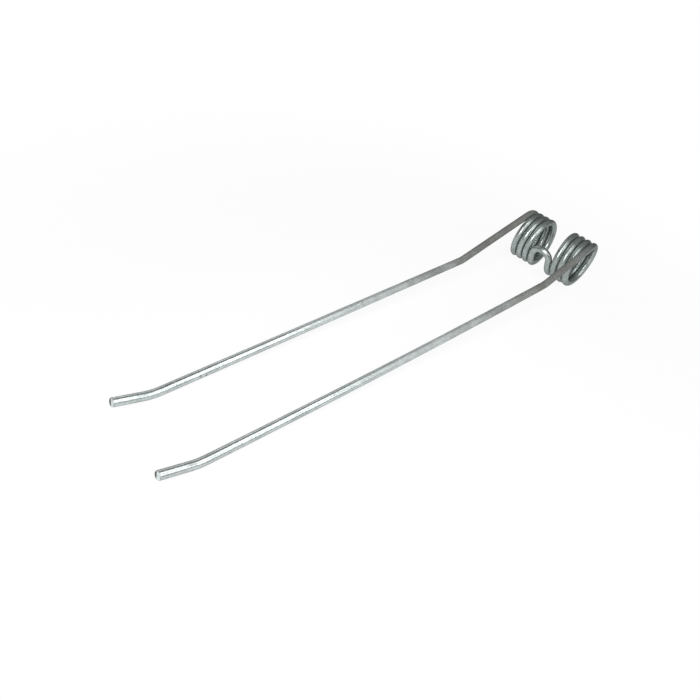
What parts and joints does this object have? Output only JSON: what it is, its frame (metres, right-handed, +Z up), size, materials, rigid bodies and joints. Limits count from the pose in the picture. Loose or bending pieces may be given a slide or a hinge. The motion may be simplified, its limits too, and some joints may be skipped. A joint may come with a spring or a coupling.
{
  "type": "rotary rake tine",
  "caption": "Double spring tine of a rotary rake: two close-wound coils joined by an arch, with two long legs bent up at their tips, in zinc-plated spring wire.",
  "frame": {"origin": "on the common axis of both coils, half way between them, where the tine arm passes", "axes": "+Y along the coil axis towards the left coil, seen from the tips; -X towards the tips of the legs; +Z up as the tine lies on a floor on its coils and legs"},
  "size_m": [0.6482, 0.1605, 0.0662],
  "materials": {
    "zinc_plated_wire": "zinc-plated spring steel wire, satin, with faint blotches and rubbed streaks"
  },
  "bodies": {
    "root": {"spring_tine": "zinc_plated_wire"}
  },
  "joints": []
}
